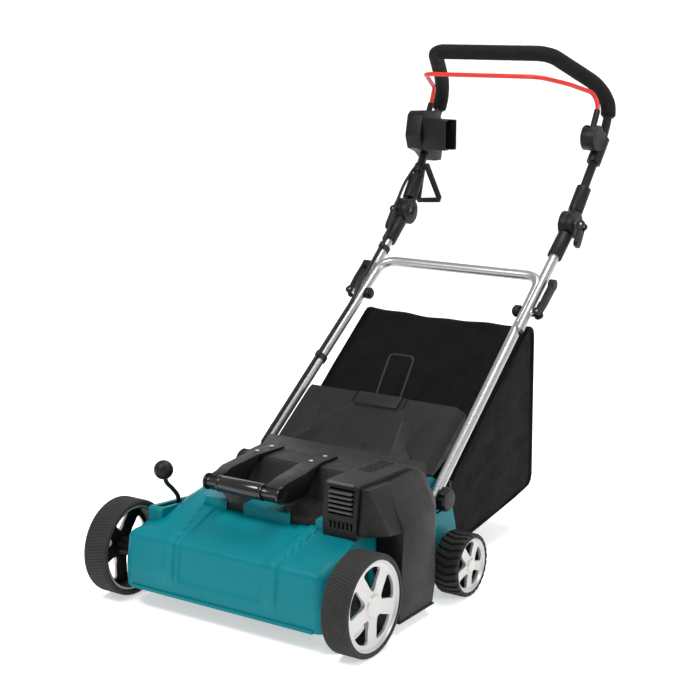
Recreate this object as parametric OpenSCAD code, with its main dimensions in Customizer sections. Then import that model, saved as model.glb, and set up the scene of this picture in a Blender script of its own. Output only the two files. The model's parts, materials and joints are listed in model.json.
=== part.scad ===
// Electric lawn dethatcher: deck on four wheels, belt-driven knife shaft, folding handle, catcher bag.
// Millimetres. +Z up, -Y front, +Y handle and bag, +X the belt side. Ground at z = 0.
// Modules are drawn with y = 0 at the front wheel axle and place() centres the whole machine.

/* [Wheels] */
// Diameter of the front wheels
front_wheel_d = 190; // [180:2:196]
// Diameter of the rear wheels
rear_wheel_d = 126; // [116:2:132]
// Width of each tyre
wheel_w = 57; // [44:1:57]
// Distance between the front and rear axles
wheelbase = 352; // [346:1:356]
// Overall width across the tyres
overall_w = 612; // [606:1:616]

/* [Deck] */
// Outer width of the deck
deck_w = 470; // [466:1:470]
// Wall thickness of the moulded deck
deck_wall = 4; // [3:0.5:5]
// Height of the front edge where the hood begins
hood_front_z = 157; // [150:1:162]
// Height of the flat deck roof
roof_z = 206; // [204:1:208]
// Height of the top of the motor cover
cover_top_z = 262; // [258:1:266]

/* [Knife shaft] */
// Radius of the circle swept by the knife tips
knife_r = 62; // [56:1:63]
// Number of knife plates on the shaft
knife_count = 15; // [9:2:17]
// Radius of the knife shaft
shaft_r = 9; // [8:0.5:10]

/* [Handle] */
// Diameter of the silver tubes
tube_d = 22; // [20:0.5:23]
// Diameter of the black handlebar tube
bar_d = 20; // [18:0.5:21]
// Diameter of the foam grip
foam_d = 34; // [30:1:36]
// Diameter of the bail wire
bail_d = 10; // [8:0.5:11]
// Diameter of the mains cable between deck and switch box
cable_d = 7; // [6:0.5:8]

/* [Bag] */
// Half width of the catcher bag
bag_half = 209; // [200:1:209]
// Thickness of the bag's cloth and lining
bag_wall = 2.5; // [2:0.5:4]

/* [Hidden] */

FRONT_R = front_wheel_d / 2;
REAR_R = rear_wheel_d / 2;
TYRE_OUT = overall_w / 2;
TYRE_IN = TYRE_OUT - wheel_w;
DECK_X = deck_w / 2;
TUBE_R = tube_d / 2;
BAR_R = bar_d / 2;
FOAM_R = foam_d / 2;
CABLE_R = cable_d / 2;
// Running clearance on a radius
GAP = 0.05;

// Crank pivot of the front axle, as [y, z]
CRANK = [50, 118];
// Knife shaft and motor shaft, as [y, z]
KNIFE = [165, 72];
MOTOR = [235, 186];
BELT_X = 258;
MOTOR_PULLEY_R = 18;
SHAFT_PULLEY_R = 40;
// Hinge of the rear flap, as [y, z]
FLAP = [368, 226];
FLAP_SLOPE = 35.5;
FLAP_LEN = 172;

// Handle pivot on the deck, fold bolt, knuckle and bail pivot, on the +X side
PIVOT = [220, 345, 190];
BOLT = [207, 740, 495];
KNUCKLE = [214, 935, 660];
BAIL = [216, 1020, 845];
LEG_DIR = (BOLT - PIVOT) / norm(BOLT - PIVOT);
LEG_SLOPE = atan2(BOLT[2] - PIVOT[2], BOLT[1] - PIVOT[1]);
UPPER_X = 213;
UPPER_DIR = (KNUCKLE - [UPPER_X, BOLT[1], BOLT[2]]) / norm(KNUCKLE - [UPPER_X, BOLT[1], BOLT[2]]);
UPPER_FOOT = [UPPER_X, BOLT[1], BOLT[2]] - 50 * UPPER_DIR;
BAR_FIRST = [223, 1078, 850];
BAR_DIR = (BAR_FIRST - KNUCKLE) / norm(BAR_FIRST - KNUCKLE);
// Rear end of the machine, at the outside of the foam
REAR_END = 1107 + FOAM_R;
Y_SHIFT = (FRONT_R - REAR_END) / 2;

// Bends of the handlebar and of the bail, from the +X side to the middle
BAR_SIDE = [KNUCKLE + 36 * BAR_DIR, BAR_FIRST, [220, 1110, 912], [202, 1080, 958], [150, 958, 1024], [128, 944, 1030]];
BAIL_SIDE = [[216, 1044, 884], [216, 1057, 914], [206, 1050, 942], [178, 978, 964], [148, 912, 979], [130, 904, 981]];
// Corner between a leg and the cross bar of the lower handle
LEG_CORNER = BOLT + 103.6 * LEG_DIR;
// Plane in which the two crimped tubes face each other at the fold
FOLD_X = 210;

function unit(v) = v / norm(v);
function flip(p) = [-p[0], p[1], p[2]];
function reversed(list) = [for (i = [len(list) - 1:-1:0]) list[i]];
function both_sides(list) = concat(list, reversed([for (p = list) flip(p)]));
function arc(c, r, a0, a1, n) = [for (i = [0:n]) c + r * [cos(a0 + (a1 - a0) * i / n), sin(a0 + (a1 - a0) * i / n)]];
function bezier(a, b, c, t) = (1 - t) * (1 - t) * a + 2 * t * (1 - t) * b + t * t * c;
// Bend at b between the neighbours a and c, starting d before the corner
function bend(a, b, c, d, n) =
    let (e = min(d, 0.48 * norm(b - a), 0.48 * norm(c - b)))
    [for (i = [0:n]) bezier(b + e * unit(a - b), b, b + e * unit(c - b), i / n)];
function rounded(p, d, n = 4) = concat([p[0]],
    [for (i = [1:len(p) - 2]) each bend(p[i - 1], p[i], p[i + 1], d, n)], [p[len(p) - 1]]);
function tangent(p, i) = unit(p[min(i + 1, len(p) - 1)] - p[max(i - 1, 0)]);
function normals(p, n0, i = 0) = i >= len(p) ? [] :
    let (t = tangent(p, i), n = unit(n0 - (n0 * t) * t)) concat([n], normals(p, n, i + 1));
function ring(c, t, n, r, sides) = [for (k = [0:sides - 1])
    c + r * cos(360 * k / sides) * n + r * sin(360 * k / sides) * cross(t, n)];

// Round bar swept along a path
module sweep(path, r, n0 = [1, 0, 0], sides = 16) {
    ns = normals(path, n0);
    m = len(path);
    points = [for (i = [0:m - 1]) each ring(path[i], tangent(path, i), ns[i], r, sides)];
    walls = [for (i = [0:m - 2], k = [0:sides - 1]) let (a = i * sides + k, b = i * sides + (k + 1) % sides)
        each [[a, a + sides, b], [b, a + sides, b + sides]]];
    caps = [[for (k = [0:sides - 1]) k], [for (k = [sides - 1:-1:0]) (m - 1) * sides + k]];
    polyhedron(points, concat(walls, caps));
}

// Hollow tube swept along a path, open at both ends
module tube(path, r, wall, n0 = [1, 0, 0], sides = 16) {
    ns = normals(path, n0);
    m = len(path);
    half = m * sides;
    points = concat(
        [for (i = [0:m - 1]) each ring(path[i], tangent(path, i), ns[i], r, sides)],
        [for (i = [0:m - 1]) each ring(path[i], tangent(path, i), ns[i], r - wall, sides)]);
    outer = [for (i = [0:m - 2], k = [0:sides - 1]) let (a = i * sides + k, b = i * sides + (k + 1) % sides)
        each [[a, a + sides, b], [b, a + sides, b + sides]]];
    inner = [for (f = outer) [f[0] + half, f[2] + half, f[1] + half]];
    first = [for (k = [0:sides - 1]) let (b = (k + 1) % sides)
        each [[k, b, k + half], [b, b + half, k + half]]];
    z = (m - 1) * sides;
    last = [for (k = [0:sides - 1]) let (b = (k + 1) % sides)
        each [[z + k, z + k + half, z + b], [z + b, z + k + half, z + b + half]]];
    polyhedron(points, concat(outer, inner, first, last));
}

// Straight round bar between two points
module rod(a, b, r) {
    v = b - a;
    translate(a) rotate([0, acos(v[2] / norm(v)), atan2(v[1], v[0])]) cylinder(r = r, h = norm(v), $fn = 64);
}
// Extrude a [y, z] outline along X from x0 to x1
module slab(x0, x1) {
    translate([x0, 0, 0]) rotate([90, 0, 90]) linear_extrude(x1 - x0) children();
}
// Cylinder along X at a [y, z] centre
module xcyl(c, x0, x1, r) {
    translate([x0, c[0], c[1]]) rotate([0, 90, 0]) cylinder(r = r, h = x1 - x0, $fn = 64);
}
module pair() {
    children();
    mirror([1, 0, 0]) children();
}
module place() {
    translate([0, Y_SHIFT, 0]) children();
}

// ---- Deck ----------------------------------------------------------------

function hood_z(y) = hood_front_z + (y + 37) * (roof_z - hood_front_z) / 132;

module deck_outline(t) {
    polygon(concat([[-60 + t, t > 0 ? -20 : 42]],
        arc([-33, hood_front_z - 20], 20 - t, 176, 105, 6),
        [[95, roof_z - t], [326 - t, roof_z - t], [330 - t, 186 - t], [t > 0 ? 440 : 386, 186 - t]],
        t > 0 ? [[440, -20]] : [[406, 130], [416, 84], [416, 24], [300, 20], [60, 30]]));
}

// Height of the outer edge of the left shoulder, which lies lower than the hood
function shoulder_z(y) = 158 + 0.15 * y;
// Wedge taken off above the left shoulder
module shoulder_wedge(t) {
    drop = 65 / 47;
    hull() {
        slab(-170, -169.9) polygon([[-80, 300], [-80, hood_z(-60) - t], [-37, hood_z(-37) - t], [95, roof_z - t],
            [326, roof_z - t], [326, 300]]);
        slab(-236, -235) polygon(concat([[-80, 300]],
            [for (y = [-80, -37, 95, 300]) let (inner = min(hood_z(y), roof_z))
                [y, inner - t - max(0, inner - shoulder_z(y)) * drop]], [[326, roof_z - t], [326, 300]]));
    }
}
// Outside of the deck, or its inside when t is the wall
module deck_solid(t) {
    difference() {
        intersection() {
            slab(-DECK_X + t, DECK_X - t) deck_outline(t);
            translate([0, 0, -30]) linear_extrude(300) offset(r = 20 - t, $fn = 48)
                translate([-DECK_X + 20, -40]) square([deck_w - 40, 480]);
        }
        shoulder_wedge(1.25 * t);
    }
}

module deck_housing() {
    color("teal") difference() {
        union() {
            difference() {
                deck_solid(0);
                deck_solid(deck_wall);
            }
            // Lower lip and the two ribs of the front panel
            slab(20 - DECK_X, DECK_X - 20) polygon([[-63, 42], [-63, 50], [-59, 54], [-57, 42]]);
            pair() slab(106, 116) polygon([[-60, 78], [-54, 150], [-44, 160], [58, hood_z(58) + 3],
                [58, hood_z(58) - 2], [-40, 150], [-52, 78]]);
            // Cradle under the motor
            difference() {
                union() {
                    xcyl(MOTOR, -102, 104, 64);
                    translate([-102, MOTOR[0] - 64, MOTOR[1]]) cube([206, 128, roof_z - MOTOR[1]]);
                }
                xcyl(MOTOR, -98, 100, 60);
                translate([-98, MOTOR[0] - 60, MOTOR[1]]) cube([196, 120, 60]);
                translate([-200, 100, roof_z]) cube([400, 300, 60]);
            }
            // Bearing housings and axle bosses
            pair() xcyl(KNIFE, 219, DECK_X - 1, 21);
            pair() xcyl(CRANK, 225, DECK_X - 1, 17);
            pair() xcyl([wheelbase, REAR_R], 218, DECK_X + 8, 14);
            // Ears for the handle and lugs for the rear flap
            pair() {
                slab(202.2, 207.2) intersection() {
                    translate([PIVOT[1], PIVOT[2]]) circle(r = 38, $fn = 96);
                    translate([PIVOT[1] - 40, 184]) square([80, 60]);
                }
                xcyl(FLAP, 145, 155, 9);
                translate([145, FLAP[0] - 9, 184]) cube([10, 18, FLAP[1] - 184]);
            }
            // Raised gate around the slot of the depth lever
            slab(-218, -184) polygon([[0, 156], [0, 186], [6, 188], [132, 188], [132, 172]]);
        }
        // Room for the motor, knife shaft, crank axle, wheel stubs and hinge parts
        xcyl(MOTOR, -98, 100, 60);
        translate([-98, MOTOR[0] - 60, MOTOR[1]]) cube([196, 120, 60]);
        xcyl(MOTOR, 99, DECK_X + 1, 12);
        pair() xcyl(KNIFE, 218, 231, 16);
        xcyl(KNIFE, 218, DECK_X + 1, 12);
        pair() xcyl(CRANK, 200, DECK_X + 2, 12);
        pair() xcyl([wheelbase, REAR_R], 221, DECK_X + 9, 6);
        pair() {
            xcyl([PIVOT[1], PIVOT[2]], 200, 219, 4);
            xcyl([PIVOT[1], PIVOT[2]], 190, 202.2, 8.3);
            translate([207.2, 318, 168]) cube([40, 56, 60]);
        }
        pair() xcyl(FLAP, 140, 160, 4);
        translate([-208, 12, 150]) cube([16, 114, 80]);
        // Mouth at the back where the clippings leave
        translate([-DECK_X + 24, 380, 50]) cube([deck_w - 48, 60, 126]);
    }
    // Floor and ends of the recess in which each handle leg turns
    color("teal") pair() {
        translate([203.2, 314, 164]) cube([DECK_X - 203.2, 64, 4]);
        translate([203.2, 314, 164]) cube([DECK_X - 203.2, 4, 40]);
        translate([203.2, 374, 164]) cube([DECK_X - 203.2, 4, 20]);
        translate([203.2, 314, 164]) cube([4, 64, 20]);
    }
}

module cover_outline(t) {
    polygon([[60 + t, hood_z(60) + 0.3 - 3 * t], [60 + t, 206 - t / 2], [146 + t, 212 - t], [184 + t, 256 - t],
        [194 + t, cover_top_z - t], [334 - t, cover_top_z - t], [350 - t, 244 - t], [350 - t, roof_z + 0.3 - 3 * t],
        [95, roof_z + 0.3 - 3 * t]]);
}
// Plan of the motor cover: its left edge widens towards the back
module cover_plan(t) {
    polygon([[-118 + t, 40], [-141 + t, 270], [-180 + t, 350], [-180 + t, 400], [210, 400], [210, 40]]);
}
module cover_solid(t) {
    intersection() {
        slab(-190, 201.5 - t) cover_outline(t);
        translate([0, 0, 120]) linear_extrude(200) cover_plan(t);
    }
}
module vent_outline(t) {
    polygon([[48 + t, hood_z(48) + 0.3 - 3 * t], [46 + t, 224], [54 + t, 288 - t], [62, 290 - t], [232, 285 - t],
        [256 - t, 278 - t], [302 - t, 238 - t], [302 - t, roof_z + 0.3 - 3 * t], [95, roof_z + 0.3 - 3 * t]]);
}

module motor_cover() {
    color("#3a3a3a") difference() {
        union() {
            cover_solid(0);
            slab(160, 234) vent_outline(0);
        }
        cover_solid(3);
        slab(163, 231) vent_outline(3);
        // Slatted intake at the front, slots below it and the outlet grille on top
        for (i = [0:5]) translate([172, 40, 232 + 9 * i]) cube([54, 18, 4]);
        for (i = [0:5]) translate([176 + 9 * i, 40, 206]) cube([4, 18, 14]);
        for (i = [0:6]) translate([168, 150 + 12 * i, 270]) cube([34, 5, 30]);
        // Screw holes of the carry handle
        for (x = HANDLE_SCREW_X, y = HANDLE_SCREW_Y) translate([x, y, 250]) cylinder(r = 2, h = 30, $fn = 32);
    }
}

// Belt guard: lower housing between the wheels and a nose above the front wheel
module guard_shape(t) {
    x0 = DECK_X + 0.5 - 4 * t;
    hull() {
        slab(x0, 286 - t) polygon([[121 + t, 66], [112 + t, 24 + t], [230 - t, 20 + t], [240 - t, 60],
            [234 - t, 214 - t], [126 + t, 200 - t]]);
        slab(x0, 272 - t) polygon([[122 + t, 30 + t], [250 - t, 30 + t], [263 - t, 120], [263 - t, 216 - t],
            [122 + t, 206 - t]]);
        slab(x0, 252 - t) polygon([[118 + t, 272 - t], [124 + t, 278 - t], [234 - t, 279 - t], [254 - t, 268 - t],
            [262 - t, 200], [252 - t, 30 + t], [122 + t, 30 + t], [122 + t, 200]]);
    }
    hull() {
        slab(x0, 282 - t) polygon([[84 + t, 197 + t], [136, 190 + t], [136, 194 + t]]);
        slab(x0, 252 - t) polygon([[50 + t, 198 + t], [50 + t, 206], [60 + t, 284 - t], [140, 280 - t], [140, 198 + t]]);
    }
}

module belt_cover() {
    color("#242424") difference() {
        guard_shape(0);
        guard_shape(3);
        // Clear of the front wheel through its height adjustment
        xcyl([6, 90], DECK_X, 300, FRONT_R + 21);
    }
}

GRIP = [29, 252];
HANDLE_SCREW_X = [-97, 33];
HANDLE_SCREW_Y = [192, 240];
module carry_handle_arms() {
    color("#1e1e1e") difference() {
        intersection() {
            slab(-130, 100) polygon([[22, 243], [30, 236], [66, 228], [130, 226], [166, 254],
                [176, cover_top_z + 0.3], [262, cover_top_z + 0.3], [262, cover_top_z + 4], [176, cover_top_z + 8],
                [60, 270], [28, 265]]);
            translate([0, 0, 200]) linear_extrude(100) {
                polygon([[-88, 0], [-64, 0], [-64, 52], [-72, 80], [-82, 180], [-82, 270], [-114, 270],
                    [-110, 180], [-98, 80], [-88, 52]]);
                polygon([[42, 0], [77, 0], [77, 52], [70, 120], [50, 205], [48, 270], [14, 270], [18, 180], [36, 80], [42, 52]]);
            }
        }
        xcyl(GRIP, -120, 100, 10);
        for (x = HANDLE_SCREW_X, y = HANDLE_SCREW_Y) translate([x, y, 250]) cylinder(r = 2, h = 40, $fn = 32);
    }
}

module carry_grip() {
    color("#161616") difference() {
        xcyl(GRIP, -93, 82, 16);
        // Two shallow grooves, and the necks that pass through the arms
        for (x = [-58, 34]) difference() {
            xcyl(GRIP, x, x + 2, 20);
            xcyl(GRIP, x, x + 2, 15);
        }
        for (x = [[-88.6, 25.2], [41.2, 36.4]]) difference() {
            translate([x[0], 12, 225]) cube([x[1], 60, 60]);
            xcyl(GRIP, x[0] - 1, x[0] + x[1] + 1, 9.9);
        }
    }
}
module screw_at(p, dir, len) {
    rod(p, p - len * dir, 2);
    rod(p, p + 2.5 * dir, 4.5);
}
module cover_screws() {
    color("dimgray") {
        for (x = HANDLE_SCREW_X, y = HANDLE_SCREW_Y)
            screw_at([x, y, cover_top_z + (y < 220 ? 7.5 : 5.2)], [0, 0, 1], 22);
    }
}

// ---- Drive ---------------------------------------------------------------

module motor_stator() {
    color("#8a8d90") difference() {
        union() {
            xcyl(MOTOR, -50, 66, 56);
            xcyl(MOTOR, -58, 74, 30);
        }
        xcyl(MOTOR, -40, 58, 32.4);
        xcyl(MOTOR, -60, 76, 8 + GAP);
    }
}
module motor_capacitor() {
    color("#c9ccd0") {
        xcyl([200, 226], -127, -107, 17);
        xcyl([200, 226], -107, -103, 8);
    }
}
module motor_rotor() {
    color("#9a7b4f") union() {
        xcyl(MOTOR, -38, 56, 32);
        xcyl(MOTOR, -92, 268, 8);
    }
}
module motor_fan() {
    color("#dddddd") difference() {
        union() {
            xcyl(MOTOR, -84, -66, 14);
            xcyl(MOTOR, -70, -66, 46);
            for (i = [0:8]) translate([-84, MOTOR[0], MOTOR[1]]) rotate([40 * i, 0, 0])
                translate([0, -1.2, 10]) cube([16, 2.4, 34]);
        }
        xcyl(MOTOR, -90, -60, 8);
    }
}
module belt_pulley(c, r, bore) {
    difference() {
        union() {
            xcyl(c, BELT_X - 8, BELT_X + 8, r - 1);
            xcyl(c, BELT_X - 9, BELT_X - 7, r + 3);
            xcyl(c, BELT_X + 7, BELT_X + 9, r + 3);
        }
        xcyl(c, BELT_X - 12, BELT_X + 12, bore);
    }
}
module motor_pulley() {
    color("#b0b0b0") belt_pulley(MOTOR, MOTOR_PULLEY_R, 8);
}
module shaft_pulley() {
    color("#b0b0b0") belt_pulley(KNIFE, SHAFT_PULLEY_R, shaft_r);
}
// Belt outline around both pulleys, grown by g
module belt_loop(g) {
    d = MOTOR - KNIFE;
    a = atan2(d[1], d[0]);
    b = acos((SHAFT_PULLEY_R - MOTOR_PULLEY_R) / norm(d));
    polygon(concat(arc(KNIFE, SHAFT_PULLEY_R + g, a + b, a - b + 360, 40),
        arc(MOTOR, MOTOR_PULLEY_R + g, a - b, a + b, 24)));
}
module drive_belt() {
    color("#111111") difference() {
        slab(BELT_X - 6, BELT_X + 6) belt_loop(2.4);
        slab(BELT_X - 7, BELT_X + 7) belt_loop(-0.4);
    }
}
module knife_bearings() {
    color("silver") pair() difference() {
        xcyl(KNIFE, 221, 231, 16);
        xcyl(KNIFE, 220, 232, shaft_r + GAP);
    }
}
module knife_shaft() {
    color("#a8acb0") xcyl(KNIFE, -230, 272, shaft_r);
}
KNIFE_PITCH = 400 / (knife_count - 1);
module scarifier_knives() {
    color("#70757a") for (i = [0:knife_count - 1]) translate([-200 + KNIFE_PITCH * i, KNIFE[0], KNIFE[1]])
        rotate([37 * i, 0, 0]) difference() {
            translate([-1.25, 0, 0]) rotate([90, 0, 90]) linear_extrude(2.5) union() {
                circle(r = 17, $fn = 48);
                for (a = [0, 180]) rotate(a)
                    polygon([[-12, -10], [14, -8], [17, 30], [10, knife_r - 2], [2, knife_r - 1], [-4, 34]]);
            }
            rotate([0, 90, 0]) cylinder(r = shaft_r, h = 10, center = true, $fn = 64);
        }
}
module knife_spacers() {
    color("#2c2c2c") for (i = [0:knife_count - 2]) difference() {
        xcyl(KNIFE, -200 + KNIFE_PITCH * i + 1.25, -200 + KNIFE_PITCH * (i + 1) - 1.25, 14);
        xcyl(KNIFE, -201 + KNIFE_PITCH * i, -199 + KNIFE_PITCH * (i + 1), shaft_r);
    }
}

// ---- Wheels --------------------------------------------------------------

// One opening between two spokes, drawn in the wheel's plane
module spoke_window(r_in, r_out, w) {
    h = r_out - r_in;
    polygon(concat(arc([r_in + w * 0.45, 0], w * 0.45, 240, 120, 8), arc([r_out - w, 0], w, 100, -100, 14)));
    translate([r_in + h * 0.3, 0]) circle(r = w * 0.55, $fn = 32);
}
// Wheel on the +X side; the outer face is at x = x_out
module wheel_tyre(c, r, x_out, rim_r) {
    x_in = x_out - wheel_w;
    translate([x_in, c[0], c[1]]) rotate([0, 90, 0]) rotate_extrude($fn = 96)
        polygon([[rim_r, 2], [r - 7, 0], [r - 2, 4], [r, 10], [r, wheel_w - 10], [r - 2, wheel_w - 4],
            [r - 7, wheel_w], [rim_r + 1, wheel_w - 2], [rim_r, wheel_w - 4]]);
}
module wheel_rim(c, x_out, rim_r) {
    difference() {
        union() {
            difference() {
                xcyl(c, x_out - wheel_w + 6, x_out - 3, rim_r);
                xcyl(c, x_out - wheel_w + 5, x_out - 2, rim_r - 5);
            }
            difference() {
                xcyl(c, x_out - 14, x_out - 7, rim_r - 1);
                translate([x_out - 20, c[0], c[1]]) rotate([90, 0, 90]) linear_extrude(20)
                    for (i = [0:4]) rotate(90 + 72 * i) spoke_window(rim_r * 0.34, rim_r * 0.88, rim_r * 0.17);
            }
            xcyl(c, x_out - wheel_w + 4, x_out - 2, rim_r * 0.2 + 2);
        }
        xcyl(c, x_out - wheel_w, x_out - 4, 6 + GAP);
    }
}
FRONT_C = [0, FRONT_R];
REAR_C = [wheelbase, REAR_R];
FRONT_RIM = FRONT_R * 0.885;
REAR_RIM = REAR_R * 0.86;
module front_right_tyre() { color("#1b1b1b") wheel_tyre(FRONT_C, FRONT_R, TYRE_OUT, FRONT_RIM); }
module front_right_rim() { color("silver") wheel_rim(FRONT_C, TYRE_OUT, FRONT_RIM); }
module front_left_tyre() { mirror([1, 0, 0]) front_right_tyre(); }
module front_left_rim() { mirror([1, 0, 0]) front_right_rim(); }
module rear_right_tyre() { color("#1b1b1b") wheel_tyre(REAR_C, REAR_R, TYRE_OUT, REAR_RIM); }
module rear_right_rim() { color("silver") wheel_rim(REAR_C, TYRE_OUT, REAR_RIM); }
module rear_left_tyre() { mirror([1, 0, 0]) rear_right_tyre(); }
module rear_left_rim() { mirror([1, 0, 0]) rear_right_rim(); }

module rear_stub_axles() {
    color("#9b9b9b") pair() xcyl(REAR_C, 221, TYRE_OUT - 5, 6);
}
module axle_bushes() {
    color("#2a2a2a") pair() difference() {
        xcyl(CRANK, 225, DECK_X + 1, 12);
        xcyl(CRANK, 224, DECK_X + 2, 7 + GAP);
    }
}
module front_crank_axle() {
    color("#9b9b9b") {
        xcyl(CRANK, -TYRE_IN + 4, TYRE_IN - 4, 7);
        v = FRONT_C - CRANK;
        pair() {
            xcyl(CRANK, DECK_X + 2, TYRE_IN - 4, 11);
            xcyl(FRONT_C, DECK_X + 2, TYRE_IN - 4, 11);
            translate([DECK_X + 2, CRANK[0], CRANK[1]]) rotate([atan2(v[1], v[0]), 0, 0])
                translate([0, 0, -9]) cube([TYRE_IN - DECK_X - 6, norm(v), 18]);
            xcyl(FRONT_C, DECK_X + 2, TYRE_OUT - 5, 6);
        }
    }
}
LEVER_PATH = [[-200, 56, 122], [-200, 71, 177], [-200, 68, 194], [-200, 50, 214], [-200, 34, 228], [-200, 29, 246]];
LEVER_BALL = [-200, 27, 256];
module depth_lever() {
    color("#151515") {
        difference() {
            xcyl(CRANK, -207, -193, 13);
            xcyl(CRANK, -208, -192, 7);
        }
        difference() {
            sweep(rounded(LEVER_PATH, 8, 4), 4.5, [1, 0, 0], 14);
            xcyl(CRANK, -208, -192, 12);
            translate(LEVER_BALL) sphere(r = 19, $fn = 64);
        }
    }
}
module lever_ball() {
    color("#202020") translate(LEVER_BALL) sphere(r = 19, $fn = 64);
}

// ---- Rear flap and bag ---------------------------------------------------

module flap_shape(t) {
    hull() {
        slab(-180 + t, 180 - t) polygon([[2 + t, -1 - t], [FLAP_LEN - t, -1 - t], [FLAP_LEN - t, -t], [t, -t]]);
        slab(-196 + t, 196 - t) polygon([[8 + t, -22 - 30 * sign(t)], [FLAP_LEN - 30 - t, -52 - 30 * sign(t)],
            [FLAP_LEN - t, -18 - 30 * sign(t)], [FLAP_LEN - t, -16], [6 + t, -16]]);
    }
}
module rear_flap() {
    color("#333333") difference() {
        union() {
            translate([0, 360, 233]) rotate([FLAP_SLOPE, 0, 0]) difference() {
                flap_shape(0);
                flap_shape(3);
            }
            difference() {
                for (x = [-135, -45, 65]) xcyl(FLAP, x, x + 70, 8.5);
                translate([0, 360, 233]) rotate([FLAP_SLOPE, 0, 0]) translate([-200, -30, 0]) cube([400, 60, 40]);
            }
            translate([0, 360, 233]) rotate([FLAP_SLOPE, 0, 0]) {
                slab(-52, 52) polygon([[136, -1], [140, 5], [171, 5], [172, -1]]);
                pair() slab(60, 63) polygon([[136, -1], [146, 3], [171, 3], [172, -1]]);
            }
        }
        xcyl(FLAP, -170, 170, 4 + GAP);
        pair() translate([142, 340, 205]) cube([16, 46, 50]);
    }
}
module flap_hinge_rod() {
    color("silver") xcyl(FLAP, -165, 165, 4);
}

// Side outline of the bag, shrunk by t; the mouth is at the front
function bag_top(y) = 468 + 0.773 * (y - 774);
module bag_outline(t) {
    polygon(concat([[432 - 3 * t, 55 + t], [529, 62 + t], [716, 88 + t]],
        arc([770, 122], 24 - t, -70, 0, 5),
        arc([768, 438], 20 - t, 3, 122, 6),
        [[620, bag_top(620) - t], [432 - 3 * t, bag_top(432) - t]]));
}
module bag_cloth() {
    color("#141414") difference() {
        slab(-bag_half, bag_half) bag_outline(0);
        slab(-bag_half + bag_wall, bag_half - bag_wall) bag_outline(bag_wall);
    }
}
module bag_frame() {
    color("#3c3c3c") {
        // Moulded frame that hooks onto the deck's mouth
        difference() {
            translate([-bag_half, 424, 52]) cube([2 * bag_half, 7.7, 148]);
            translate([-bag_half + 14, 420, 64]) cube([2 * bag_half - 28, 20, 122]);
        }
        // Wire carry loop standing on the frame
        sweep(rounded([[30, 428, 192], [30, 526, 327], [30, 580, 403], [-30, 580, 403], [-30, 526, 327],
            [-30, 428, 192]], 12, 4), 3, [0, 0, 1], 10);
    }
}

// ---- Lower handle --------------------------------------------------------

function leg_point(s) = BOLT + s * LEG_DIR;
// Block at the fold on one side of the plane x = x0, from a to b along a tube
module fold_block(slope, x0, x1, a, b) {
    translate([0, BOLT[1], BOLT[2]]) rotate([slope, 0, 0]) translate([x0, a, -18]) cube([x1 - x0, b - a, 36]);
}
LEG_FLAT = FOLD_X - 0.15;
module lower_handle() {
    path = both_sides(concat([PIVOT - 15 * LEG_DIR], bend(leg_point(-60), LEG_CORNER, [0, LEG_CORNER[1], LEG_CORNER[2]],
        58, 7)));
    color("#c8c8c8") difference() {
        union() {
            difference() {
                tube(path, TUBE_R, 1.5, [0, 0, 1], 24);
                pair() fold_block(LEG_SLOPE, LEG_FLAT, 240, -62, 84);
            }
            // The crimped flat and its shoulder
            intersection() {
                sweep(path, TUBE_R, [0, 0, 1], 24);
                pair() {
                    fold_block(LEG_SLOPE, LEG_FLAT - 1.5, LEG_FLAT, -63.5, 84);
                    fold_block(LEG_SLOPE, LEG_FLAT - 1.5, 240, -63.5, -62);
                }
            }
        }
        pair() xcyl([PIVOT[1], PIVOT[2]], 190, 260, 4 + GAP);
        pair() xcyl([BOLT[1], BOLT[2]], 180, 220, 4);
    }
}
module handle_pivot_bolts() {
    color("#8f8f8f") pair() {
        xcyl([PIVOT[1], PIVOT[2]], 196, 252, 4);
        xcyl([PIVOT[1], PIVOT[2]], 195, 202.1, 8);
    }
}
module pivot_knob() {
    color("#1d1d1d") difference() {
        union() {
            xcyl([PIVOT[1], PIVOT[2]], 233, 239, 14);
            hull() {
                xcyl([PIVOT[1], PIVOT[2]], 238, 252, 24);
                xcyl([PIVOT[1], PIVOT[2]], 238, 256, 20);
            }
        }
        xcyl([PIVOT[1], PIVOT[2]], 230, 252.5, 4 + GAP);
        // Finger scallops around the rim
        for (i = [0:6]) rotate_about_pivot(i * 360 / 7) xcyl([PIVOT[1] + 29, PIVOT[2]], 236, 260, 8);
    }
}
module rotate_about_pivot(a) {
    translate([0, PIVOT[1], PIVOT[2]]) rotate([a, 0, 0]) translate([0, -PIVOT[1], -PIVOT[2]]) children();
}
module right_pivot_knob() { pivot_knob(); }
module left_pivot_knob() { mirror([1, 0, 0]) pivot_knob(); }

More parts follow.
